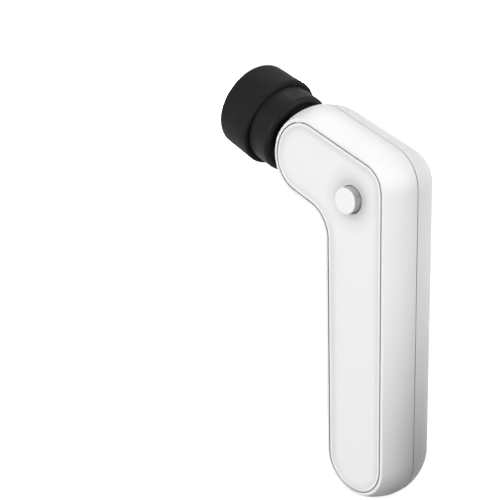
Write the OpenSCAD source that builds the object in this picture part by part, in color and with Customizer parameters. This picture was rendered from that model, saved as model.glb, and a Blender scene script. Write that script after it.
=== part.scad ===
// Hand-held egg candling lamp: a pistol-shaped two-shell housing with an inlaid front panel
// and one push button, a black nose at the head and a soft cup that the egg is set against.
// The lamp stands upright: its handle runs up +Z from the foot, the panel faces -Y and the
// nose points to -X and a little up. The origin is the charging socket at the foot.

/* [Housing] */
// Width of the handle
body_w = 38; // [37:0.5:44]
// Width of the head
head_w = 38.72; // [38:0.04:44]
// Thickness of the closed housing
body_t = 28.6; // [28:0.2:32]
// Radius of the crowned sides in front of the seam
side_r = 28; // [24:0.25:32]
// Radius of the crowned sides behind the seam
rear_side_r = 23.75; // [22:0.25:30]
// Rounding of the front shell's edge
front_round = 0.6; // [0.3:0.1:0.8]
// Rounding of the rear shell's edge
rear_round = 2; // [1:0.1:2.6]
// Length from the centre of the foot's arc to the bend
grip_len = 109.8; // [107:0.2:130]
// Rise of the head's slope over its run
head_rise = 44; // [34:1:52]
// Run of the head's slope
head_run = 117; // [110:1:125]
// Length from the bend to the centre of the head's round end
head_len = 29.6; // [28:0.2:40]
// Radius of the outer corner of the bend
top_r = 16.32; // [14:0.04:18]
// Radius of the inner corner of the bend
crook_r = 8.9; // [6:0.1:12]
// Wall of the shells
wall = 2.4; // [2:0.1:2.8]
// Open seam between the two shells
seam_gap = 0.4; // [0.2:0.1:0.6]
// Thickness of the locating tongue of the front shell
tongue_t = 1.2; // [0.8:0.1:1.4]
// Height of the locating tongue
tongue_h = 1.6; // [1:0.1:2.4]

/* [Front panel] */
// Distance of the panel's recess from the outline of the housing
panel_inset = 5.08; // [4.9:0.02:7]
// Open groove round the panel
panel_gap = 0.5; // [0.3:0.1:0.8]
// Thickness of the panel
panel_t = 2; // [1.6:0.1:2.6]
// Wall of the front shell below the panel
floor_t = 1.8; // [1.4:0.1:2.4]
// Width of the raised bead along the panel's edge
bead_w = 0.9; // [0.6:0.1:2]
// Depth of the panel's field below the bead
dish_h = 0.55; // [0.2:0.05:0.8]
// Radius of the hollow between the bead and the field
dish_r = 4.5; // [2:0.1:6]

/* [Button] */
// Diameter of the button
button_d = 10.4; // [8:0.2:13]
// Height of the button over the panel's bead
button_proud = 2.8; // [2:0.1:4]
// Distance of the button below the bend
button_drop = 1.8; // [0:0.1:6]
// Distance of the button from the handle's axis, towards the nose
button_side = 2; // [0:0.1:4]
// Travel of the button
button_travel = 1.6; // [1:0.1:1.8]
// Gap round the button
button_gap = 0.3; // [0.2:0.05:0.5]

/* [Nose] */
// Wall of the nose tube
nose_wall = 2; // [1.6:0.1:2.6]
// Length of the nose tube in front of the head
nose_front = 18; // [15:0.5:22]
// Length of the tube's skirt round the head's end
nose_skirt = 2; // [1:0.1:4]
// Distance of the nose axis below the head's centre line
nose_drop = 1.25; // [0:0.05:1.5]
// Diameter of the spigot that the shells clamp
spigot_d = 16; // [15:0.5:17]
// Diameter of the spigot's flange
flange_d = 20; // [19:0.2:20.4]
// Thickness of the spigot's flange
flange_t = 2; // [1.5:0.1:2.5]
// Bore of the spigot
spigot_bore = 11; // [10.6:0.1:12]

/* [Rubber cup] */
// Diameter of the cup at its rear edge
cup_rear_d = 38; // [37:0.2:42]
// Wall of the cup over the nose tube
cup_wall = 2.2; // [2:0.1:3]
// Narrowing of the cup's side from its rear edge to its rim
cup_taper = 0.5; // [0:0.1:1]
// Distance of the cup's rear edge from the head's end
cup_start = 8.9; // [5:0.1:11]
// Length of the cup's lip in front of the nose tube
cup_lip = 8.7; // [8:0.1:14]
// Width of the flat land at the rim
cup_land = 2.1; // [1.8:0.1:2.6]
// Depth of the flared egg seat
seat_h = 2.5; // [1.5:0.1:3.5]
// Width of the flared egg seat
seat_flare = 2.8; // [2:0.1:3.4]
// Rounding of the cup's edges
cup_round = 1.3; // [1:0.1:1.8]

/* [Lamp] */
// Thickness of the heat sink disc
sink_t = 3; // [2:0.5:4]
// Diameter of the lamp board
star_d = 20; // [18:0.5:22]
// Thickness of the lamp board
star_t = 1.6; // [1.2:0.1:2]
// Thickness of the clear window
lens_t = 2; // [1.6:0.1:2.6]
// Thickness of the ring that holds the window
ring_t = 1.2; // [1:0.1:1.6]

/* [Power] */
// Diameter of the rechargeable cell
cell_d = 18.4; // [17:0.2:18.6]
// Length of the rechargeable cell
cell_len = 65; // [50:1:65]
// Length of the charging board
charge_len = 19; // [17.6:0.2:19.2]
// Distance of the charging board from the screw posts beside it
charge_gap = 0.5; // [0.3:0.1:0.8]
// Thickness of the two circuit boards
board_t = 1.6; // [1:0.1:1.6]
// Width of the control board
board_w = 24; // [23:0.5:26]
// Length of the control board below the button
board_down = 20; // [16:0.5:22]
// Length of the control board above the button
board_up = 11; // [10:0.5:12]

/* [Fasteners] */
// Diameter of the screw posts
post_d = 6.4; // [6:0.1:6.6]
// Diameter of the housing screws
screw_d = 2.6; // [2.2:0.1:3]
// Diameter of the heads of the housing screws
screw_head_d = 5; // [4.6:0.1:5]
// Distance of the screws from the inner side of the wall
post_out = 7.1; // [6.6:0.1:7.2]

/* [Hidden] */

$fn = 96;
// Overrun of every cut, and the overlap of solids that are fused
over = 0.5;
// Clearance between fixed pieces that slip into one another
slip = 0.1;
// Width of the band that is swept along the outline to form the crowned edge
band_w = 7;
// How far the arc of a rounded edge stands past the two faces that it joins
round_lift = 0.01;

// Places of the outline in the plane of the panel
foot_y = body_w / 2;
bend_y = foot_y + grip_len;
half_w = body_w / 2;
half_head = head_w / 2;
half_t = body_t / 2;
head_tilt = atan2(head_rise, head_run);
head_u = [-head_run, head_rise] / norm([head_run, head_rise]);
head_m = [head_rise, head_run] / norm([head_run, head_rise]);
bend_c = [0, bend_y];
head_c = head_len * head_u;
top_c = [half_w - top_r, (half_head - top_r - (half_w - top_r) * head_m[0]) / head_m[1]];
crook_c = [-half_w - crook_r, ((half_w + crook_r) * head_m[0] - half_head - crook_r) / head_m[1]];
top_s = top_c * head_u;
crook_s = crook_c * head_u;
// Reach of the wedge that bounds a corner of the bend
wedge_l = 50;
// Length from the bend to the tip of the head
tip_s = head_len + half_head;

// Step of the tongue inside the wall
tongue_step = 0.2;

// Inner edge of the panel's bead, and the hollow inside it, which dips a little below the field
bead_in = panel_inset + panel_gap + bead_w;
dish_dip = 0.03;
dish_low = half_t - dish_h - dish_dip;
dish_w = sqrt(pow(dish_r, 2) - pow(dish_r - half_t + dish_low, 2));

// Inner faces of the front and rear walls
front_in = half_t - panel_t - floor_t;
rear_in = half_t - wall;

// Button, switch and control board
button_x = -button_side;
button_y = bend_y - button_drop;
button_flange = 1.3;
button_ledge = 1.4;
button_stem_d = 4.4;
button_edge = 0.35;
switch_w = 8;
switch_h = 4.5;
switch_rim = 1;
plunger_d = 3.2;
plunger_in = 2.2;
board_share = 0.2;
board_z = switch_h * board_share;
flange_top = front_in - slip;
flange_low = flange_top - button_ledge;
switch_top = board_z + switch_h;
plunger_top = switch_top + button_travel + over;
board_post_d = 5;
board_screw_d = 1.8;
board_head_d = 3.6;
board_head_h = 1.2;
board_bite = 5;
board_edge = 2.8;

// Screw posts beside the charging board
post_r = post_d / 2;
post_side = half_w - wall - post_out;

// Foot: charging socket, charging board and the cell above it
socket_w = 9;
socket_h = 3.3;
socket_len = 7.4;
socket_wall = 0.3;
socket_in = 0.6;
socket_tongue_w = 6.4;
socket_tongue_t = 0.7;
socket_base = 2.4;
charge_z = -socket_h / 2;
charge_w = 2 * (post_side - post_r - charge_gap);
foot_r = half_w - rear_side_r + sqrt(pow(rear_side_r - wall, 2) - pow(charge_z - board_t, 2));
charge_y0 = foot_y - sqrt(pow(foot_r, 2) - pow(charge_w / 2, 2)) + slip;
charge_y1 = charge_y0 + charge_len;
charge_post_y = charge_y0 + charge_len / 2;
stop_t = 2;
stop_w = 10;
stop_gap = 0.55;
lead_room = 1.6;
tab_t = 0.3;
tab_w = 8;
tab_share = 0.25;
stop_low = charge_y1 + lead_room;
cell_y0 = stop_low + stop_t + tab_t;
cell_y1 = cell_y0 + cell_len;
stop_high = cell_y1 + tab_t;
cell_lift = 1.5;
cell_z = -rear_in + cell_lift + cell_d / 2;
cell_nub_d = 6;
cell_nub_h = 0.6;
cell_round = 0.8;
saddle_t = 2;
saddle_in = 9;
saddle_deep = 6;
pad_w = 12;
pad_len = 30;

// Screws of the housing
foot_post_y = foot_y - post_r;
mid_post_y = stop_high + stop_t + post_r + slip;
head_post_s = head_len - post_d - slip;
screw_seat = half_t - post_d - wall;
screw_head_h = 1.8;
screw_bite = 6.5;
slot_w = 0.7;
slot_h = 0.8;
slot_share = 0.62;

// Nose and cup, measured along their axis from the head's end
nose_r = cup_rear_d / 2 - cup_wall;
rim_r = cup_rear_d / 2 - cup_taper;
seat_r = rim_r - cup_land;
bore_r = seat_r - seat_flare;
nose_bore = nose_r - nose_wall;
nose_floor = 0.4;
nose_floor_t = 2.2;
rib_front = 6;
rib_t = 2;
flange_back = rib_front + flange_t;
sink_z = nose_floor + nose_floor_t;
star_z = sink_z + sink_t;
chip_z = star_z + star_t;
chip_w = 5;
chip_h = 0.8;
dome_r = 2.1;
lens_end = nose_front - ring_t;
lens_z = lens_end - lens_t;
mirror_t = 1.1;
mirror_foot_r = 3.9;
mirror_lip_h = 1.4;
mirror_lip_w = 1.8;
ring_w = 1.7;
cup_end = nose_front + cup_lip;
lamp_screw_r = 8;
lamp_screw_d = 1.8;
lamp_head_d = 3.2;
lamp_head_h = 1;

// Leads inside the housing
lead_r = 0.65;
lead_hole = 1;
lamp_lead_side = 3.2;
lamp_lead_deep = 3;
lamp_lead_end = 8.5;
cell_lead_side = 2.6;
cell_lead_air = 1.05;
cell_lead_z = board_z - board_t - lead_r - cell_lead_air;
cell_lead_run = 6;
stop_top = cell_lead_z - lead_r - stop_gap;
charge_lead_side = half_w - wall - 3 * lead_r;
charge_lead_z = board_z + 2 * lead_r + slip;
charge_lead_in = 4.6;

// Outline of the housing in the plane of the panel, drawn in by e
module outline(e) {
  translate(bend_c) difference() {
    union() {
      polygon([
        [half_w - e, -grip_len],
        [half_w - e, top_c[1]],
        top_c + (top_r - e) * head_m,
        head_c + (half_head - e) * head_m,
        head_c - (half_head - e) * head_m,
        crook_c + (crook_r + e) * head_m,
        crook_c,
        crook_c + [crook_r + e, 0],
        [-half_w + e, -grip_len]
      ]);
      translate([0, -grip_len]) circle(r = half_w - e);
      translate(head_c) circle(r = half_head - e);
      translate(top_c) circle(r = top_r - e);
    }
    translate(crook_c) circle(r = crook_r + e);
  }
}

// A section that is swept straight on from a point, with its outer side to the left
module run(start, heading, length) {
  translate(start)
    rotate([0, 0, heading])
      rotate([90, 0, 90])
        linear_extrude(length) children();
}

// A section that is swept through half a turn round a round end
module round_end(centre, radius, from) {
  translate(centre)
    rotate([0, 0, from])
      rotate_extrude(angle = 180) translate([radius, 0]) children();
}

// A section that is swept round one of the bend's two corners, between the handle and the head
module corner(centre, radius) {
  translate(centre)
    intersection() {
      rotate_extrude() translate([radius, 0]) children();
      translate([0, 0, -body_t]) linear_extrude(2 * body_t) polygon([
        [0, 0],
        [wedge_l, 0],
        [wedge_l, 0] + wedge_l * head_m,
        wedge_l * head_m
      ]);
    }
}

// A section swept along the whole outline, drawn in by e; its outer side is +x, the front is +y
module along_outline(e) {
  translate(bend_c) {
    round_end([0, -grip_len], half_w - e, 180) children();
    run([half_w - e, top_c[1]], -90, top_c[1] + grip_len) children();
    corner(top_c, top_r - e) children();
    corner(crook_c, crook_r + e) mirror([1, 0]) children();
    run([-half_w + e, -grip_len], 90, crook_c[1] + grip_len) children();
  }
  on_head() {
    run([head_len, e - half_head], 180, head_len - top_s) children();
    round_end([head_len, 0], half_head - e, -90) children();
    run([crook_s, half_head - e], 0, head_len - crook_s) children();
  }
}

// Section of what the crowned side leaves away, from a face at a depth up to past the seam
module crown_cut(e, depth, crown_r) {
  difference() {
    translate([-band_w, -depth - over]) square([band_w + 2 * over, depth + 2 * over]);
    translate([e - crown_r, 0]) circle(r = crown_r - e);
  }
}

// Section of what a rounding leaves away of the edge between a crowned side and its face
module edge_cut(depth, crown_r, edge_r) {
  reach = crown_r - edge_r + round_lift;
  drop = depth - edge_r + round_lift;
  across = sqrt(pow(reach, 2) - pow(drop, 2));
  past = edge_r + over;
  translate([across - crown_r, -drop]) difference() {
    polygon([[0, 0], [0, -past], [past, -past], [across, -drop] * past / reach]);
    circle(r = edge_r);
  }
}

// Crowned half of the housing behind the seam, drawn in by e, from its face at a depth up to a top
module crowned(e, depth, top, crown_r) {
  difference() {
    translate([0, 0, -depth]) linear_extrude(depth + top) outline(e - over);
    along_outline(e) crown_cut(e, depth, crown_r);
  }
}

// Places
module upright() {
  rotate([90, 0, 0]) children();
}
module on_head() {
  translate(bend_c) rotate([0, 0, 180 - head_tilt]) children();
}
module on_nose() {
  on_head() translate([tip_s, nose_drop, 0]) rotate([0, 90, 0]) children();
}
module at_screws() {
  for (side = [-1, 1]) {
    translate([side * post_side, foot_post_y, 0]) children();
    translate([side * post_side, mid_post_y, 0]) children();
    on_head() translate([head_post_s, side * post_side, 0]) children();
  }
}
module at_board_screws() {
  for (side = [-1, 1])
    translate([button_x + side * (board_w / 2 - board_edge), button_y + board_up - board_edge, 0])
      children();
}
module at_lamp_screws() {
  for (side = [-1, 1])
    translate([0, side * lamp_screw_r, 0]) children();
}
module at_lamp_leads() {
  for (side = [-1, 1])
    translate([lamp_lead_deep, side * lamp_lead_side, 0]) children();
}

// A rod between two depths
module rod(r, low, high) {
  translate([0, 0, low]) cylinder(r = r, h = high - low);
}

// A ring section with its corners named: r0 to r1 across, z0 to z1 along
module cut_ring(r0, r1, z0, z1) {
  translate([r0, z0]) square([r1 - r0, z1 - z0]);
}

// What rounds an outer corner at the origin, with the solid to the lower left
module nick(r) {
  difference() {
    translate([-r, -r]) square([r + over, r + over]);
    translate([-r, -r]) circle(r = r);
  }
}

// Outline of a flat slot with round ends, w wide and h high
module slot(w, h) {
  square([w - h, h], center = true);
  for (side = [-1, 1])
    translate([side * (w - h) / 2, 0]) circle(r = h / 2);
}

// One half of the housing behind the seam, with its inner face at a depth
module half_shell(depth, crown_r, edge_r) {
  difference() {
    crowned(0, half_t, -seam_gap / 2, crown_r);
    along_outline(0) edge_cut(half_t, crown_r, edge_r);
    crowned(wall, depth, 0, crown_r);
  }
}

// Plates behind the seam that clamp the nose's flange, filled out to the housing's own form
module nose_ribs(depth, crown_r) {
  intersection() {
    crowned(wall - over, depth + over, 0, crown_r);
    on_head() {
      translate([tip_s - rib_front, -half_head, -half_t]) cube([rib_front, head_w, half_t]);
      translate([tip_s - flange_back - rib_t, -half_head, -half_t]) cube([rib_t, head_w, half_t]);
    }
  }
}

// Ribs that hold the cell, between two depths
module cell_ribs(low, high) {
  for (y = [cell_y0 + saddle_in, cell_y1 - saddle_in - saddle_t])
    translate([-cell_d / 2, y, low]) cube([cell_d, saddle_t, high - low]);
}
module cell_room(r) {
  translate([0, cell_y0 - over, cell_z])
    rotate([-90, 0, 0]) cylinder(r = r, h = cell_len + 2 * over);
}

// Openings in both shells for the nose spigot and for the charging socket
module end_openings() {
  on_nose() rod(spigot_d / 2 + slip, -flange_back - rib_t - over, over);
  translate([0, socket_in + socket_len, 0])
    rotate([90, 0, 0])
      linear_extrude(socket_in + socket_len + over) slot(socket_w + 2 * slip, socket_h + 2 * slip);
}

module front_shell() color("white") upright() difference() {
  union() {
    mirror([0, 0, 1]) half_shell(front_in, side_r, front_round);
    translate([0, 0, -tongue_h])
      linear_extrude(2 * tongue_h) difference() {
        outline(wall - tongue_t);
        outline(wall + tongue_step);
      }
    mirror([0, 0, 1]) nose_ribs(front_in, side_r);
    at_screws() rod(post_r, 0, front_in + over);
    at_board_screws() rod(board_post_d / 2, board_z, front_in + over);
    difference() {
      cell_ribs(front_in - saddle_deep, front_in + over);
      cell_room(cell_d / 2 + slip);
    }
  }
  translate([0, 0, half_t - panel_t]) linear_extrude(panel_t + over) outline(panel_inset);
  translate([button_x, button_y, 0]) rod(button_d / 2 + button_gap, front_in - over, half_t);
  at_screws() rod(screw_d / 2, -over, screw_bite);
  at_board_screws() rod(board_screw_d / 2, board_z - over, board_z + board_bite);
  end_openings();
}

module rear_shell() color("white") upright() difference() {
  union() {
    difference() {
      half_shell(rear_in, rear_side_r, rear_round);
      translate([0, 0, -tongue_h - slip])
        linear_extrude(tongue_h + slip) outline(wall - tongue_t - slip);
    }
    difference() {
      nose_ribs(rear_in, rear_side_r);
      translate([0, 0, -tongue_h - slip])
        linear_extrude(tongue_h + slip + over) difference() {
          outline(0);
          outline(wall + tongue_step + slip);
        }
    }
    at_screws() rod(post_r, -rear_in - over, 0);
    difference() {
      cell_ribs(-rear_in - over, -rear_in + saddle_deep);
      cell_room(cell_d / 2 + slip);
    }
    for (y = [stop_low, stop_high])
      translate([-stop_w / 2, y, -rear_in - over])
        cube([stop_w, stop_t, stop_top + rear_in + over]);
    translate([0, charge_post_y, 0]) rod(board_post_d / 2, -rear_in - over, charge_z - board_t);
  }
  at_screws() rod(screw_d / 2 + slip, -rear_in - over, over);
  at_screws() rod(screw_head_d / 2 + slip, -half_t - over, -screw_seat);
  translate([0, charge_post_y, 0])
    rod(board_screw_d / 2, charge_z - board_t - board_bite, charge_z - board_t + over);
  end_openings();
}

module front_panel() color("whitesmoke") upright() difference() {
  translate([0, 0, half_t - panel_t]) linear_extrude(panel_t) outline(panel_inset + panel_gap);
  translate([0, 0, half_t - dish_h])
    linear_extrude(dish_h + over) outline(bead_in + dish_w);
  along_outline(bead_in)
    intersection() {
      translate([-2 * dish_w, dish_low - over]) square([2 * dish_w + over, half_t - dish_low + 2 * over]);
      translate([-dish_w, dish_low + dish_r]) circle(r = dish_r);
    }
  translate([button_x, button_y, 0]) rod(button_d / 2 + button_gap, half_t - panel_t - over, half_t + over);
}

module push_button() color("white") upright() translate([button_x, button_y, 0]) rotate_extrude() {
  difference() {
    cut_ring(0, button_d / 2, flange_low, half_t + button_proud);
    translate([button_d / 2, half_t + button_proud]) nick(button_edge);
  }
  cut_ring(0, button_d / 2 + button_flange, flange_low, flange_top);
  cut_ring(0, button_stem_d / 2, plunger_top, flange_low + over);
}

module switch_body() color("dimgray") upright() translate([button_x, button_y, 0]) difference() {
  union() {
    translate([-switch_w / 2, -switch_w / 2, board_z]) cube([switch_w, switch_w, switch_h - switch_rim]);
    rod(switch_w / 2 - switch_rim, board_z, switch_top);
  }
  rod(plunger_d / 2 + slip, switch_top - plunger_in - button_travel - over, switch_top + over);
}

module switch_plunger() color("ivory") upright() translate([button_x, button_y, 0])
  rod(plunger_d / 2, switch_top - plunger_in, plunger_top);

module control_board() color("seagreen") upright() difference() {
  translate([button_x - board_w / 2, button_y - board_down, board_z - board_t])
    cube([board_w, board_down + board_up, board_t]);
  at_board_screws() rod(board_screw_d / 2 + slip, board_z - board_t - over, board_z + over);
}

module charge_board() color("seagreen") upright() difference() {
  translate([-charge_w / 2, charge_y0, charge_z - board_t]) cube([charge_w, charge_len, board_t]);
  translate([0, charge_post_y, 0])
    rod(board_screw_d / 2 + slip, charge_z - board_t - over, charge_z + over);
}

module socket_shell() color("silver") upright() translate([0, socket_in + socket_len, 0]) rotate([90, 0, 0])
  difference() {
    linear_extrude(socket_len) slot(socket_w, socket_h);
    translate([0, 0, -over])
      linear_extrude(socket_len + 2 * over) slot(socket_w - 2 * socket_wall, socket_h - 2 * socket_wall);
  }

module socket_tongue() color("black") upright() translate([0, socket_in + socket_len, 0]) rotate([90, 0, 0]) {
  linear_extrude(socket_base) slot(socket_w - 2 * socket_wall, socket_h - 2 * socket_wall);
  translate([-socket_tongue_w / 2, -socket_tongue_t / 2, 0])
    cube([socket_tongue_w, socket_tongue_t, socket_len - socket_in]);
}

module cell() color("steelblue") upright() translate([0, cell_y0, cell_z]) rotate([-90, 0, 0])
  rotate_extrude() difference() {
    cut_ring(0, cell_d / 2, 0, cell_len);
    translate([cell_d / 2, cell_len]) nick(cell_round);
    translate([cell_d / 2, 0]) mirror([0, 1]) nick(cell_round);
    cut_ring(cell_nub_d, cell_d / 2 - cell_round, cell_len - cell_nub_h, cell_len + over);
  }

module cell_tab(y) {
  translate([-tab_w / 2, y, cell_z - tab_w / 2]) cube([tab_w, tab_t, tab_w]);
}
module cell_tab_top() color("lightgray") upright() cell_tab(cell_y1);
module cell_tab_foot() color("lightgray") upright() cell_tab(cell_y0 - tab_t);

module cell_pad() color("darkgray") upright() difference() {
  translate([-pad_w / 2, (cell_y0 + cell_y1 - pad_len) / 2, cell_z])
    cube([pad_w, pad_len, front_in - cell_z]);
  cell_room(cell_d / 2 + slip);
}

module nose_tube() color("black") upright() on_nose() difference() {
  rotate_extrude() difference() {
    union() {
      cut_ring(0, nose_r, -nose_skirt, nose_front);
      cut_ring(0, spigot_d / 2, -flange_back - rib_t - over, nose_floor);
      cut_ring(0, flange_d / 2, -flange_back, -rib_front);
    }
    translate([nose_r, -nose_skirt]) mirror([0, 1]) nick(nose_wall);
    cut_ring(spigot_d / 2, nose_bore, -nose_skirt - over, nose_floor);
    cut_ring(0, nose_bore, sink_z, nose_front + over);
    cut_ring(0, spigot_bore / 2, -flange_back - rib_t - 2 * over, sink_z + over);
  }
}

module rubber_cup() color("black") upright() on_nose() rotate_extrude() difference() {
  polygon([
    [nose_r + slip / 2, cup_start],
    [cup_rear_d / 2, cup_start],
    [rim_r, cup_end],
    [seat_r, cup_end],
    [bore_r, cup_end - seat_h],
    [bore_r, nose_front],
    [nose_r + slip / 2, nose_front]
  ]);
  translate([rim_r, cup_end]) nick(cup_round);
  translate([cup_rear_d / 2, cup_start]) mirror([0, 1]) nick(cup_round);
}

module heat_sink() color("lightgray") upright() on_nose() difference() {
  rod(nose_bore - slip, sink_z, star_z);
  at_lamp_leads() rod(lead_hole, sink_z - over, star_z + over);
  at_lamp_screws() rod(lamp_screw_d / 2, star_z - sink_t + over, star_z + over);
}

module lamp_board() color("white") upright() on_nose() difference() {
  rod(star_d / 2, star_z, chip_z);
  at_lamp_screws() rod(lamp_screw_d / 2 + slip, star_z - over, chip_z + over);
}

module lamp_emitter() color("khaki") upright() on_nose() {
  translate([-chip_w / 2, -chip_w / 2, chip_z]) cube([chip_w, chip_w, chip_h]);
  intersection() {
    translate([0, 0, chip_z + chip_h]) sphere(r = dome_r);
    rod(dome_r, chip_z + chip_h - over, chip_z + chip_h + dome_r);
  }
}

module reflector() color("silver") upright() on_nose() rotate_extrude() {
  polygon([
    [mirror_foot_r, chip_z],
    [mirror_foot_r + mirror_t, chip_z],
    [nose_bore - mirror_lip_w + mirror_t, lens_z],
    [nose_bore - mirror_lip_w, lens_z]
  ]);
  cut_ring(nose_bore - mirror_lip_w, nose_bore - slip, lens_z - mirror_lip_h, lens_z);
}

module lamp_window() color("lightcyan") upright() on_nose() rod(nose_bore - slip, lens_z, lens_end);

module window_ring() color("dimgray") upright() on_nose() rotate_extrude()
  cut_ring(nose_bore - ring_w, nose_bore - slip, lens_end, nose_front);

// A pan-head screw that points to +z from its seat at the origin, with a cross recess
module screw(d, length, head_d, head_h) {
  difference() {
    union() {
      rod(d / 2, -over, length);
      rod(head_d / 2, -head_h, 0);
    }
    for (a = [0, 90])
      rotate([0, 0, a])
        translate([-head_d * slot_share / 2, -slot_w / 2, -head_h - over])
          cube([head_d * slot_share, slot_w, slot_h + over]);
  }
}

module shell_screws() color("gainsboro") upright() at_screws()
  translate([0, 0, -screw_seat]) screw(screw_d, screw_seat + screw_bite - over, screw_head_d, screw_head_h);

module board_screws() color("gainsboro") upright() {
  at_board_screws() translate([0, 0, board_z - board_t])
    screw(board_screw_d, board_t + board_bite - over, board_head_d, board_head_h);
  translate([0, charge_post_y, charge_z]) mirror([0, 0, 1])
    screw(board_screw_d, board_t + board_bite - over, board_head_d, board_head_h);
}

module lamp_screws() color("gainsboro") upright() on_nose() at_lamp_screws()
  translate([0, 0, chip_z]) mirror([0, 0, 1])
    screw(lamp_screw_d, star_t + sink_t - 2 * over, lamp_head_d, lamp_head_h);

// A lead along straight runs between its points, with round elbows
module lead(points) {
  for (i = [1 : len(points) - 1]) {
    a = points[i - 1];
    d = points[i] - a;
    translate(a)
      rotate([0, acos(d[2] / norm(d)), atan2(d[1], d[0])]) cylinder(r = lead_r, h = norm(d));
  }
  for (i = [1 : 1 : len(points) - 2])
    translate(points[i]) sphere(r = lead_r);
}

// Lamp leads run straight back from the lamp board and turn to the control board's rear face
module lamp_lead(side) {
  on_head() lead([
    [tip_s + star_z, nose_drop + side * lamp_lead_side, -lamp_lead_deep],
    [lamp_lead_end, nose_drop + side * lamp_lead_side, -lamp_lead_deep],
    [lamp_lead_end, nose_drop + side * lamp_lead_side, board_z - board_t]
  ]);
}
module lamp_lead_red() color("red") upright() lamp_lead(-1);
module lamp_lead_black() color("black") upright() lamp_lead(1);

module cell_lead_red() color("red") upright() lead([
  [cell_lead_side, stop_high, cell_lead_z],
  [cell_lead_side, button_y - board_down + cell_lead_run, cell_lead_z],
  [cell_lead_side, button_y - board_down + cell_lead_run, board_z - board_t]
]);

module cell_lead_black() color("black") upright() lead([
  [-cell_lead_side, cell_y0 - tab_t, cell_z + tab_w * tab_share],
  [-cell_lead_side, charge_y1 - cell_lead_run, cell_z + tab_w * tab_share],
  [-cell_lead_side, charge_y1 - cell_lead_run, charge_z]
]);

// Charging leads leave the foot's board, pass the cell on both sides and end on the control board
module charge_lead(side, pad_x) {
  lead([
    [side * charge_lead_in, charge_y1 - lead_hole, charge_z],
    [side * charge_lead_in, charge_y1 - lead_hole, charge_lead_z],
    [side * charge_lead_side, charge_y1 - lead_hole, charge_lead_z],
    [side * charge_lead_side, button_y - board_down + lead_hole, charge_lead_z],
    [pad_x, button_y - board_down + lead_hole, charge_lead_z],
    [pad_x, button_y - board_down + lead_hole, board_z]
  ]);
}
module charge_lead_red() color("red") upright()
  charge_lead(1, button_x + board_w / 2 - board_edge);
module charge_lead_black() color("black") upright()
  charge_lead(-1, button_x - board_w / 2 + board_edge);

front_shell();
rear_shell();
front_panel();
push_button();
switch_body();
switch_plunger();
control_board();
charge_board();
socket_shell();
socket_tongue();
cell();
cell_tab_top();
cell_tab_foot();
cell_pad();
nose_tube();
rubber_cup();
heat_sink();
lamp_board();
lamp_emitter();
reflector();
lamp_window();
window_ring();
shell_screws();
board_screws();
lamp_screws();
lamp_lead_red();
lamp_lead_black();
cell_lead_red();
cell_lead_black();
charge_lead_red();
charge_lead_black();
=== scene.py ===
import math

import bmesh
import bpy
from mathutils import Matrix, Vector


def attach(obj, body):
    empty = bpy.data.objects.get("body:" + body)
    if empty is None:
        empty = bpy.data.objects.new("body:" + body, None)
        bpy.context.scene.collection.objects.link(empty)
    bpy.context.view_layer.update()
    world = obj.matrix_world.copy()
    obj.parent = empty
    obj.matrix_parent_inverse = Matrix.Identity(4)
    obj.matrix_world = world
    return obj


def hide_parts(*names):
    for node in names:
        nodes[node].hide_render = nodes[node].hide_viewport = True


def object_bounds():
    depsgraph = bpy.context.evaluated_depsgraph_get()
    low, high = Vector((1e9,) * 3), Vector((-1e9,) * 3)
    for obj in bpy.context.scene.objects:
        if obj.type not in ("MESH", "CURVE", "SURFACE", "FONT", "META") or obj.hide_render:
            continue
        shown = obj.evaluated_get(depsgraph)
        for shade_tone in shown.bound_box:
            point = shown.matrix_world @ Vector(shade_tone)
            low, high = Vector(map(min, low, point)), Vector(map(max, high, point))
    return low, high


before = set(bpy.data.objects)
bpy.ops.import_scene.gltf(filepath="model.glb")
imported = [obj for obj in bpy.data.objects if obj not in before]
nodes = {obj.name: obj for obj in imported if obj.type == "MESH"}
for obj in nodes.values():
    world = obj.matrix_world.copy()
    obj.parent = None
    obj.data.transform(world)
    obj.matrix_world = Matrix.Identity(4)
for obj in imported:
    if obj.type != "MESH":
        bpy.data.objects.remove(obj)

cad_box = [list(shade_tone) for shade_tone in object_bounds()]


# Housing shells: two halves of white ABS, injection moulded in a tool with a fine satin spark
# finish. The rear half takes six screws that pull the front half onto its tongue, which leaves
# an open seam round the middle of the sides.
patch_detail, gloss_detail, grain_detail = 3, 5, 2
gloss_fineness, gloss_noise = 2.7, (0.3, 0.7)
grain_height = 0.00004
# Painted shade in corners: how far its ambient occlusion looks, the occlusion at which it is
# fullest, how much of its tone it then takes, and its samples.
shade_reach, shade_shut, shade_most = 0.009, 0.80, 0.36
shade_samples, edge_samples = 12, 6


def dress(node_name, material):
    """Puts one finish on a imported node."""
    mesh = nodes[node_name].data
    mesh.materials.clear()
    mesh.materials.append(material)


def spread(tree, value, source, target):
    """A value moved from one range onto another and held at its ends."""
    node = tree.nodes.new("ShaderNodeMapRange")
    for label, limit in zip(("From Min", "From Max", "To Min", "To Max"), (*source, *target)):
        node.inputs[label].default_value = limit
    tree.links.new(value, node.inputs["Value"])
    return node.outputs["Result"]


def greyed(tree, skin, amount, tone):
    """A colour that is multiplied by a grey tone, by an amount from 0 to 1."""
    node = tree.nodes.new("ShaderNodeMix")
    node.data_type = "RGBA"
    node.blend_type = "MULTIPLY"
    node.inputs["B"].default_value = (tone, tone, tone, 1)
    tree.links.new(amount, node.inputs["Factor"])
    tree.links.new(skin, node.inputs["A"])
    return node.outputs["Result"]


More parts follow.
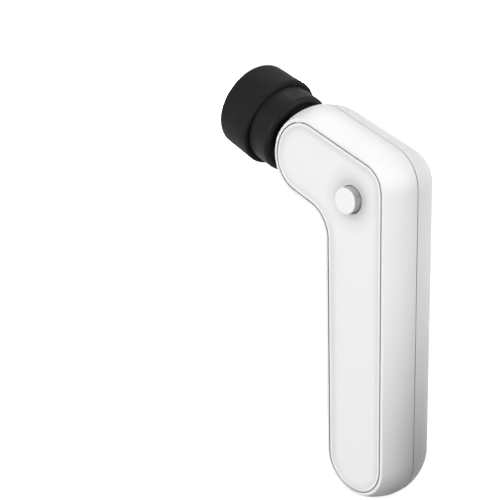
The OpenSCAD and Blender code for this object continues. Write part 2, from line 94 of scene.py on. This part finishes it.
def finish(name, colour, second, rough, swing, patch, grain, bump, edge=0.0, shade_tone=1.0,
           **sockets):
    """A moulded or turned finish: two close colours in soft patches, uneven gloss and a fine
    grain. Edge is the radius that its edges are shaded with. A corner tone under 1 paints shade
    into the colour of pale pieces, darkening it towards that tone where ambient occlusion finds
    them shut in."""
    material = bpy.data.materials.new(name)
    material.use_nodes = True
    tree = material.node_tree
    shader = tree.nodes["Principled BSDF"]
    for socket, value in sockets.items():
        shader.inputs[socket.replace("_", " ")].default_value = value
    place = tree.nodes.new("ShaderNodeTexCoord")

    def noise(scale, detail):
        texture = tree.nodes.new("ShaderNodeTexNoise")
        texture.inputs["Scale"].default_value = scale
        texture.inputs["Detail"].default_value = detail
        tree.links.new(place.outputs["Object"], texture.inputs["Vector"])
        return texture.outputs["Fac"]

    tint = tree.nodes.new("ShaderNodeMix")
    tint.data_type = "RGBA"
    tint.inputs["A"].default_value = (*colour, 1)
    tint.inputs["B"].default_value = (*second, 1)
    tree.links.new(noise(patch, patch_detail), tint.inputs["Factor"])
    skin = tint.outputs["Result"]
    # Painted shade: the colour is darkened towards the tone given for corners where ambient
    # occlusion finds the surface shut in.
    if shade_tone < 1:
        corner_occlusion = tree.nodes.new("ShaderNodeAmbientOcclusion")
        corner_occlusion.samples = shade_samples
        corner_occlusion.inputs["Distance"].default_value = shade_reach
        painted_shade = spread(tree, corner_occlusion.outputs["AO"], (1.0, shade_shut), (0.0, shade_most))
        skin = greyed(tree, skin, painted_shade, shade_tone)
    tree.links.new(skin, shader.inputs["Base Color"])
    gloss = spread(tree, noise(patch * gloss_fineness, gloss_detail), gloss_noise,
                   (rough - swing, rough + swing))
    tree.links.new(gloss, shader.inputs["Roughness"])
    relief = tree.nodes.new("ShaderNodeBump")
    relief.inputs["Strength"].default_value = bump
    relief.inputs["Distance"].default_value = grain_height
    tree.links.new(noise(grain, grain_detail), relief.inputs["Height"])
    if edge:
        round_edge = tree.nodes.new("ShaderNodeBevel")
        round_edge.samples = edge_samples
        round_edge.inputs["Radius"].default_value = edge
        tree.links.new(round_edge.outputs["Normal"], relief.inputs["Normal"])
    tree.links.new(relief.outputs["Normal"], shader.inputs["Normal"])
    return material


# The shell's colour takes painted shade in its corners and along its seam.
shell_white = finish("satin_white_shell", (0.885, 0.885, 0.88), (0.865, 0.866, 0.864),
                     rough=0.44, swing=0.05, patch=45, grain=5200, bump=0.10,
                     edge=0.00035, shade_tone=0.8, Specular_IOR_Level=0.25)
for half in ("rear_shell", "front_shell"):
    dress(half, shell_white)


# Charging inlet: a small reversible socket with a plated steel shell and a black tongue,
# soldered on a green glass-fibre board behind the foot's slot. The control board is of the
# same laminate.
dress("socket_shell", finish("plated_socket_steel", (0.70, 0.70, 0.69), (0.62, 0.62, 0.60),
                             rough=0.28, swing=0.08, patch=300, grain=9000, bump=0.12,
                             Metallic=1.0))
dress("socket_tongue", finish("socket_tongue_black", (0.02, 0.02, 0.021), (0.028, 0.028, 0.028),
                              rough=0.5, swing=0.08, patch=300, grain=9000, bump=0.12))
board_green = finish("board_green", (0.018, 0.12, 0.055), (0.025, 0.15, 0.07),
                     rough=0.42, swing=0.1, patch=240, grain=2600, bump=0.3, Coat_Weight=0.3)
for board in ("charge_board", "control_board"):
    dress(board, board_green)


# Rechargeable cell: a steel can in a blue shrink sleeve, with welded nickel strips at both
# ends, pressed into its saddles by a strip of black foam.
dress("cell", finish("blue_cell_sleeve", (0.02, 0.075, 0.22), (0.028, 0.09, 0.25),
                     rough=0.3, swing=0.08, patch=80, grain=1800, bump=0.12, Coat_Weight=0.25))
nickel = finish("nickel_strip", (0.66, 0.64, 0.60), (0.58, 0.57, 0.54),
                rough=0.3, swing=0.1, patch=400, grain=5200, bump=0.2, Metallic=1.0)
for strip in ("cell_tab_top", "cell_tab_foot"):
    dress(strip, nickel)
dress("cell_pad", finish("black_foam", (0.016, 0.016, 0.016), (0.03, 0.03, 0.03),
                         rough=0.85, swing=0.06, patch=500, grain=2200, bump=0.9))


# Nose tube: a round black moulding with a matte skin, and a spigot and flange that the two
# shells clamp. Its bore carries the lamp.
dress("nose_tube", finish("matte_black_nose", (0.0115, 0.0115, 0.012), (0.015, 0.015, 0.0155),
                          rough=0.50, swing=0.06, patch=60, grain=4200, bump=0.22,
                          edge=0.0004, Specular_IOR_Level=0.07))


# Lamp: an aluminium disc pressed into the nose as heat sink, a white-faced round board with the
# emitter on it, a metallised cone and a clear flat window behind a black snap ring.
dress("heat_sink", finish("turned_aluminium", (0.72, 0.72, 0.73), (0.66, 0.66, 0.67),
                          rough=0.32, swing=0.08, patch=200, grain=7000, bump=0.25, Metallic=1.0))
dress("lamp_board", finish("white_board_face", (0.80, 0.80, 0.78), (0.76, 0.76, 0.745),
                           rough=0.38, swing=0.06, patch=200, grain=5200, bump=0.15))
dress("lamp_emitter", finish("emitter_dome", (0.86, 0.66, 0.16), (0.80, 0.58, 0.11),
                             rough=0.12, swing=0.04, patch=600, grain=6200, bump=0.08,
                             Coat_Weight=0.6))
dress("reflector", finish("metallised_cone", (0.86, 0.86, 0.87), (0.82, 0.82, 0.84),
                          rough=0.09, swing=0.03, patch=150, grain=3800, bump=0.05, Metallic=1.0))
dress("lamp_window", finish("clear_window", (0.95, 0.97, 0.97), (0.93, 0.955, 0.955),
                            rough=0.03, swing=0.015, patch=120, grain=2400, bump=0.02,
                            Transmission_Weight=1.0, IOR=1.49))
dress("window_ring", finish("snap_ring_black", (0.018, 0.018, 0.019), (0.024, 0.024, 0.024),
                            rough=0.45, swing=0.06, patch=200, grain=5200, bump=0.2))


# Rubber cup: soft black silicone, moulded and pushed over the nose tube. Its skin is dull and
# faintly dusty, and its flared rim seals against what is held to it.
dress("rubber_cup", finish("soft_black_rubber", (0.0125, 0.0125, 0.013), (0.0165, 0.0165, 0.017),
                           rough=0.60, swing=0.07, patch=70, grain=3600, bump=0.32,
                           edge=0.0005, Specular_IOR_Level=0.05))


# Switch and button: a grey push switch on the control board, its ivory plunger, and the white
# round button that stands through the front panel.
dress("switch_body", finish("switch_grey", (0.045, 0.045, 0.05), (0.06, 0.06, 0.064),
                            rough=0.5, swing=0.08, patch=300, grain=6200, bump=0.25))
dress("switch_plunger", finish("plunger_ivory", (0.70, 0.65, 0.50), (0.66, 0.61, 0.47),
                               rough=0.42, swing=0.06, patch=300, grain=6200, bump=0.15))
# The button's colour takes painted shade where it is shut in at its foot.
dress("push_button", finish("button_white", (0.90, 0.90, 0.895), (0.888, 0.888, 0.884),
                            rough=0.42, swing=0.05, patch=120, grain=5200, bump=0.10,
                            edge=0.0003, shade_tone=0.5, Specular_IOR_Level=0.3))


# Front panel: a thin grey-white inlay, moulded with a raised bead along its edge and a soft
# hollow inside it, along which shade is painted into its colour. It is bonded into the recess of
# the front shell, and the button stands through its round hole. Its sizes are in millimetres.
mm = 0.001
half_width, half_head, head_length = 19.0, 19.36, 29.6
bend = Vector((0, 128.8))
along_head, across_head = Vector((-0.936, 0.352)), Vector((0.352, 0.936))
foot_centre = Vector((0, 19.0))
head_centre = bend + head_length * along_head
outer_corner, outer_radius = bend + Vector((2.68, 2.24)), 16.32
inner_corner, inner_radius = bend + Vector((-27.9, -19.7)), 8.9
head_turn = math.atan2(across_head.y, across_head.x)
round_steps, corner_steps = 48, 18
long_side_steps, slope_steps, under_head_steps, short_side_steps = 24, 8, 4, 20


def arc(centre, radius, start, end, steps):
    """Points on an arc, with its first but not its last point."""
    angles = [start + (end - start) * step / steps for step in range(steps)]
    return [centre + radius * Vector((math.cos(angle), math.sin(angle))) for angle in angles]


def straight(start, end, steps):
    """Points on a line, with its first but not its last point."""
    return [start.lerp(end, step / steps) for step in range(steps)]


def housing_ring(inset):
    """The housing's outline drawn in by a distance, as one closed ring from the foot's left."""
    side, head = half_width - inset, half_head - inset
    outer, inner = outer_radius - inset, inner_radius + inset
    ring = arc(foot_centre, side, math.pi, 2 * math.pi, round_steps)
    ring += straight(Vector((side, foot_centre.y)), Vector((side, outer_corner.y)),
                     long_side_steps)
    ring += arc(outer_corner, outer, 0, head_turn, corner_steps)
    ring += straight(outer_corner + outer * across_head, head_centre + head * across_head,
                     slope_steps)
    ring += arc(head_centre, head, head_turn, head_turn + math.pi, round_steps)
    ring += straight(head_centre - head * across_head, inner_corner + inner * across_head,
                     under_head_steps)
    ring += arc(inner_corner, inner, head_turn, 0, corner_steps)
    ring += straight(Vector((-side, inner_corner.y)), Vector((-side, foot_centre.y)),
                     short_side_steps)
    return ring


panel_edge, panel_back, panel_front = 5.58, 12.3, 14.3
edge_turn, bead_width, hollow_width, hollow_depth = 0.14, 1.1, 3.0, 0.55
hollow_steps = 12
half_step = 0.5 / hollow_steps
button_centre, button_hole, hole_turn, hole_steps = Vector((-2, 127)), 5.5, 0.2, 72
crease_angle = math.radians(35)
# Tone of the painted shade in the hollow inside the bead.
bead_shade_tone = 0.86
quarter = [math.radians(angle) for angle in (0, 30, 60, 90)]
section = [(panel_edge, panel_back, 0)]
for angle in quarter:
    section.append((panel_edge + edge_turn * (1 - math.cos(angle)),
                    panel_front - edge_turn * (1 - math.sin(angle)), 0))
section.append((panel_edge + bead_width - edge_turn, panel_front, 0))
# The last number of each point is its weight of painted shade: near full where the hollow leaves
# the bead, none on the bead and at the field.
for step in range(1, hollow_steps + 1):
    share = step / hollow_steps
    section.append((panel_edge + bead_width + hollow_width * (share - half_step),
                    panel_front - hollow_depth * (1 - (1 - share) ** 2), 1 - share))
field_level = section[-1][1]
hole_section = [(button_hole + hole_turn * (1 - math.sin(angle)),
                 field_level - hole_turn * (1 - math.cos(angle))) for angle in quarter]
hole_section.append((button_hole, panel_back))

shape = bmesh.new()
# Each vertex carries a weight of painted shade for the hollow inside the bead.
bead_shade = shape.verts.layers.float.new("bead_shade")


def ring_of(points, depth, painted_shade=0):
    """A closed ring of vertices at one depth, with the painted shade that lies on it."""
    ring = [shape.verts.new((point.x * mm, -depth * mm, point.y * mm)) for point in points]
    for vert in ring:
        vert[bead_shade] = painted_shade
    return ring


def join_rings(rings):
    """Faces between each ring and the next."""
    for low, high in zip(rings, rings[1:]):
        for here in range(len(low)):
            beyond = (here + 1) % len(low)
            shape.faces.new((low[here], low[beyond], high[beyond], high[here]))


def fill_between(*rings):
    """A flat face between an outer and an inner ring."""
    edges = []
    for ring in rings:
        for here in range(len(ring)):
            pair = (ring[here], ring[(here + 1) % len(ring)])
            edges.append(shape.edges.get(pair) or shape.edges.new(pair))
    bmesh.ops.triangle_fill(shape, edges=edges, use_beauty=True)


rim_rings = [ring_of(housing_ring(inset), depth, painted_shade) for inset, depth, painted_shade in section]
hole_rings = [ring_of(arc(button_centre, radius, 0, 2 * math.pi, hole_steps), depth)
              for radius, depth in hole_section]
join_rings(rim_rings)
join_rings(hole_rings)
fill_between(rim_rings[-1], hole_rings[0])
fill_between(rim_rings[0], hole_rings[-1])
bmesh.ops.recalc_face_normals(shape, faces=shape.faces)
panel_mesh = bpy.data.meshes.new("inlaid_panel")
shape.to_mesh(panel_mesh)
shape.free()
panel_mesh.polygons.foreach_set("use_smooth", [True] * len(panel_mesh.polygons))
panel_mesh.set_sharp_from_angle(angle=crease_angle)

# The panel's colour takes strong painted shade beside the button and in its corners.
panel_white = finish("panel_grey_white", (0.875, 0.875, 0.872), (0.86, 0.861, 0.859),
                     rough=0.46, swing=0.05, patch=55, grain=4800, bump=0.12,
                     shade_tone=0.06, Specular_IOR_Level=0.25)
panel_tree = panel_white.node_tree
panel_skin = panel_tree.nodes["Principled BSDF"].inputs["Base Color"]
# Painted shade along the hollow inside the bead: the colour is darkened by the weight each vertex
# carries.
along_bead = panel_tree.nodes.new("ShaderNodeAttribute")
along_bead.attribute_name = "bead_shade"
bead_shaded = greyed(panel_tree, panel_skin.links[0].from_socket, along_bead.outputs["Fac"], bead_shade_tone)
panel_tree.links.new(bead_shaded, panel_skin)
panel_mesh.materials.append(panel_white)
panel = bpy.data.objects.new("inlaid_panel", panel_mesh)
scene = bpy.context.scene
scene.collection.objects.link(panel)
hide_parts("front_panel")
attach(panel, "housing")


# Screws: zinc-plated steel with pan heads and a cross recess, six deep in the rear shell, three
# on the boards and two on the lamp board. The six of the shell are set by Geometry Nodes.
zinc = finish("zinc_plate", (0.56, 0.56, 0.57), (0.48, 0.48, 0.50),
              rough=0.33, swing=0.09, patch=400, grain=6200, bump=0.25, Metallic=1.0)
for screws in ("board_screws", "lamp_screws"):
    dress(screws, zinc)

screw_seat_y = 0.0055
screw_places = [(-0.0095, 0.0158), (0.0095, 0.0158), (-0.0095, 0.09731), (0.0095, 0.09731),
                (-0.02497, 0.12804), (-0.01828, 0.14582)]
screw_sizes = {"Head radius": 0.0025, "Head height": 0.0018, "Shank radius": 0.0013,
               "Shank length": 0.0115, "Recess length": 0.0031, "Recess width": 0.0007,
               "Recess depth": 0.0009}
screw_sides = 40
collar_share, taper_share, taper_top = 0.62, 0.38, 0.74

screw_tree = bpy.data.node_groups.new("shell_screw_set", "GeometryNodeTree")


def group_socket(label, kind, way="INPUT"):
    """A named socket of the screw set, by its identifier."""
    return screw_tree.interface.new_socket(label, in_out=way, socket_type=kind).identifier


group_socket("Geometry", "NodeSocketGeometry")
socket_of = {label: group_socket(label, "NodeSocketFloat") for label in screw_sizes}
socket_of["Finish"] = group_socket("Finish", "NodeSocketMaterial")
group_socket("Geometry", "NodeSocketGeometry", way="OUTPUT")
given = screw_tree.nodes.new("NodeGroupInput").outputs


def link(source, target):
    screw_tree.links.new(source, target)


def scaled(value, factor):
    """A size times a plain factor."""
    node = screw_tree.nodes.new("ShaderNodeMath")
    node.operation = "MULTIPLY"
    link(value, node.inputs[0])
    node.inputs[1].default_value = factor
    return node.outputs[0]


def at_height(solid, height):
    """A solid moved along the screw's axis."""
    place = screw_tree.nodes.new("ShaderNodeCombineXYZ")
    link(height, place.inputs["Z"])
    move = screw_tree.nodes.new("GeometryNodeTransform")
    link(solid, move.inputs["Geometry"])
    link(place.outputs[0], move.inputs["Translation"])
    return move.outputs[0]


def round_bar(low_radius, top_radius, length, middle):
    """A bar or a taper on the screw's axis."""
    bar = screw_tree.nodes.new("GeometryNodeMeshCone")
    bar.inputs["Vertices"].default_value = screw_sides
    link(low_radius, bar.inputs["Radius Bottom"])
    link(top_radius, bar.inputs["Radius Top"])
    link(length, bar.inputs["Depth"])
    return at_height(at_height(bar.outputs["Mesh"], scaled(length, -0.5)), middle)


def combine(operation, solids, base=None):
    """Solids joined to each other, or cut out of a base."""
    node = screw_tree.nodes.new("GeometryNodeMeshBoolean")
    node.operation = operation
    node.solver = "EXACT"
    if base is not None:
        link(base, node.inputs["Mesh 1"])
    for solid in solids:
        link(solid, node.inputs["Mesh 2"])
    return node.outputs["Mesh"]


def recess_bar(long_axis, wide_axis):
    """One arm of the cross recess, sunk into the top of the head."""
    size = screw_tree.nodes.new("ShaderNodeCombineXYZ")
    link(given["Recess length"], size.inputs[long_axis])
    link(given["Recess width"], size.inputs[wide_axis])
    link(scaled(given["Recess depth"], 2), size.inputs["Z"])
    bar = screw_tree.nodes.new("GeometryNodeMeshCube")
    link(size.outputs[0], bar.inputs["Size"])
    return at_height(bar.outputs["Mesh"], given["Head height"])


head_radius, head_height = given["Head radius"], given["Head height"]
collar = round_bar(head_radius, head_radius, scaled(head_height, collar_share),
                   scaled(head_height, collar_share / 2))
taper = round_bar(head_radius, scaled(head_radius, taper_top), scaled(head_height, taper_share),
                  scaled(head_height, collar_share + taper_share / 2))
shank = round_bar(given["Shank radius"], given["Shank radius"], given["Shank length"],
                  scaled(given["Shank length"], -0.5))
solid_screw = combine("UNION", [collar, taper, shank])
cut_screw = combine("DIFFERENCE", [recess_bar("X", "Y"), recess_bar("Y", "X")], base=solid_screw)
points = screw_tree.nodes.new("GeometryNodeMeshToPoints")
link(given["Geometry"], points.inputs["Mesh"])
placed = screw_tree.nodes.new("GeometryNodeInstanceOnPoints")
link(points.outputs["Points"], placed.inputs["Points"])
link(cut_screw, placed.inputs["Instance"])
placed.inputs["Rotation"].default_value = (-math.pi / 2, 0, 0)
real = screw_tree.nodes.new("GeometryNodeRealizeInstances")
link(placed.outputs["Instances"], real.inputs["Geometry"])
plated = screw_tree.nodes.new("GeometryNodeSetMaterial")
link(real.outputs["Geometry"], plated.inputs["Geometry"])
link(given["Finish"], plated.inputs["Material"])
link(plated.outputs["Geometry"], screw_tree.nodes.new("NodeGroupOutput").inputs[0])

screw_mesh = bpy.data.meshes.new("screw_places")
screw_mesh.from_pydata([(x, screw_seat_y, z) for x, z in screw_places], [], [])
screw_set = bpy.data.objects.new("shell_screw_heads", screw_mesh)
scene.collection.objects.link(screw_set)
setter = screw_set.modifiers.new("screw_set", "NODES")
setter.node_group = screw_tree
for label, size in screw_sizes.items():
    setter[socket_of[label]] = size
setter[socket_of["Finish"]] = zinc
seen_set = screw_set.evaluated_get(bpy.context.evaluated_depsgraph_get())
screw_set.data = bpy.data.meshes.new_from_object(seen_set)
screw_set.modifiers.clear()
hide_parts("shell_screws")
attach(screw_set, "housing")


# Leads: thin stranded wire in soft red and black insulation, soldered between the socket's
# board, the cell, the control board and the lamp.
lead_red = finish("red_insulation", (0.42, 0.012, 0.010), (0.36, 0.010, 0.009),
                  rough=0.42, swing=0.06, patch=300, grain=4200, bump=0.2)
lead_black = finish("black_insulation", (0.015, 0.015, 0.015), (0.02, 0.02, 0.02),
                    rough=0.42, swing=0.06, patch=300, grain=4200, bump=0.2)
for run in ("lamp_lead", "cell_lead", "charge_lead"):
    dress(run + "_red", lead_red)
    dress(run + "_black", lead_black)


# Studio: a wide pale floor under the foot and a white surround. Soft lamps stand before the
# panel, at the front left, beside the bend with a narrow beam that fades down the side, and
# over the slope, and a fill without gloss lights the back.
scene.view_settings.view_transform = "Standard"
floor_reach, floor_gap = 8.0, 0.0002
bounced_tone, seen_tone = 0.06, 0.92
fade_from, fade_to = 0.15, 1.0
lift_near, lift_far = 0.66, 1.0
surround_bounced, surround_seen = 0.05, 1.0


def seen_directly(tree):
    """1 for rays from the camera, from gloss and through glass, 0 for light that bounces."""
    path = tree.nodes.new("ShaderNodeLightPath")
    total = path.outputs["Is Camera Ray"]
    for ray in ("Is Glossy Ray", "Is Transmission Ray"):
        either = tree.nodes.new("ShaderNodeMath")
        either.operation = "MAXIMUM"
        tree.links.new(total, either.inputs[0])
        tree.links.new(path.outputs[ray], either.inputs[1])
        total = either.outputs[0]
    return total


floor_mesh = bpy.data.meshes.new("floor")
floor_mesh.from_pydata([(-floor_reach, -floor_reach, 0), (floor_reach, -floor_reach, 0),
                        (floor_reach, floor_reach, 0), (-floor_reach, floor_reach, 0)],
                       [], [(0, 1, 2, 3)])
floor = bpy.data.objects.new("floor", floor_mesh)
floor.location.z = cad_box[0][2] - floor_gap
scene.collection.objects.link(floor)
pale = bpy.data.materials.new("pale_floor")
pale.use_nodes = True
floor_tree = pale.node_tree
floor_tree.nodes.clear()
seen = seen_directly(floor_tree)
tone = floor_tree.nodes.new("ShaderNodeMix")
tone.data_type = "RGBA"
tone.inputs["A"].default_value = (bounced_tone, bounced_tone, bounced_tone, 1)
tone.inputs["B"].default_value = (seen_tone, seen_tone, seen_tone, 1)
floor_tree.links.new(seen, tone.inputs["Factor"])
matt = floor_tree.nodes.new("ShaderNodeBsdfDiffuse")
floor_tree.links.new(tone.outputs["Result"], matt.inputs["Color"])
place = floor_tree.nodes.new("ShaderNodeTexCoord")
away = floor_tree.nodes.new("ShaderNodeVectorMath")
away.operation = "LENGTH"
floor_tree.links.new(place.outputs["Object"], away.inputs[0])
fade = spread(floor_tree, away.outputs["Value"], (fade_from, fade_to), (lift_near, lift_far))
strength = floor_tree.nodes.new("ShaderNodeMath")
strength.operation = "MULTIPLY"
floor_tree.links.new(seen, strength.inputs[0])
floor_tree.links.new(fade, strength.inputs[1])
lift = floor_tree.nodes.new("ShaderNodeEmission")
floor_tree.links.new(strength.outputs[0], lift.inputs["Strength"])
both = floor_tree.nodes.new("ShaderNodeAddShader")
floor_tree.links.new(matt.outputs[0], both.inputs[0])
floor_tree.links.new(lift.outputs[0], both.inputs[1])
surface = floor_tree.nodes.new("ShaderNodeOutputMaterial")
floor_tree.links.new(both.outputs[0], surface.inputs["Surface"])
floor_mesh.materials.append(pale)

world = bpy.data.worlds.new("white_surround")
world.use_nodes = True
scene.world = world
world_tree = world.node_tree
surround = world_tree.nodes["Background"]
level = spread(world_tree, seen_directly(world_tree), (0, 1), (surround_bounced, surround_seen))
world_tree.links.new(level, surround.inputs["Strength"])
surround.inputs["Color"].default_value = (1, 1, 1, 1)


def soft_lamp(name, place, target, width, power, beam=180, gloss=True):
    """A square area lamp that faces a point, with the angle of its beam in degrees. A lamp
    without gloss makes no highlight."""
    light = bpy.data.lights.new(name, "AREA")
    light.shape = "SQUARE"
    light.size = width
    light.energy = power
    light.spread = math.radians(beam)
    lamp = bpy.data.objects.new(name, light)
    lamp.location = place
    lamp.visible_glossy = gloss
    lamp.rotation_euler = (Vector(target) - Vector(place)).to_track_quat("-Z", "Y").to_euler()
    scene.collection.objects.link(lamp)


soft_lamp("before_panel", (0.05, -1.2, 0.34), (0, 0, 0.08), width=0.45, power=13.6)
soft_lamp("front_left", (-0.60, -1.2, 0.72), (-0.01, 0, 0.09), width=0.40, power=1.5)
soft_lamp("above_bend", (0.282, 0.100, 0.26), (0.01, 0, 0.150), width=0.222, power=0.117,
          beam=29.9)
soft_lamp("over_slope", (-0.24, 0.30, 0.90), (-0.02, 0, 0.14), width=0.35, power=1.75)
soft_lamp("behind_left", (-0.80, 1.00, 0.28), (0, 0, 0.08), width=0.44, power=12.6, gloss=False)

camera_place = (0.26158, -0.29222, 0.22434)
right = Vector((0.66018, 0.750523, -0.029624))
up = Vector((-0.199739, 0.213443, 0.956319))
back = Vector((0.724063, -0.625426, 0.290820))
camera_data = bpy.data.cameras.new("view")
camera_data.lens = 75.37
camera_data.sensor_width = 36
camera_data.clip_start = 0.01
camera = bpy.data.objects.new("view", camera_data)
turn = Matrix((right, up, back)).transposed().to_4x4()
camera.matrix_world = Matrix.Translation(camera_place) @ turn
scene.collection.objects.link(camera)
scene.camera = camera
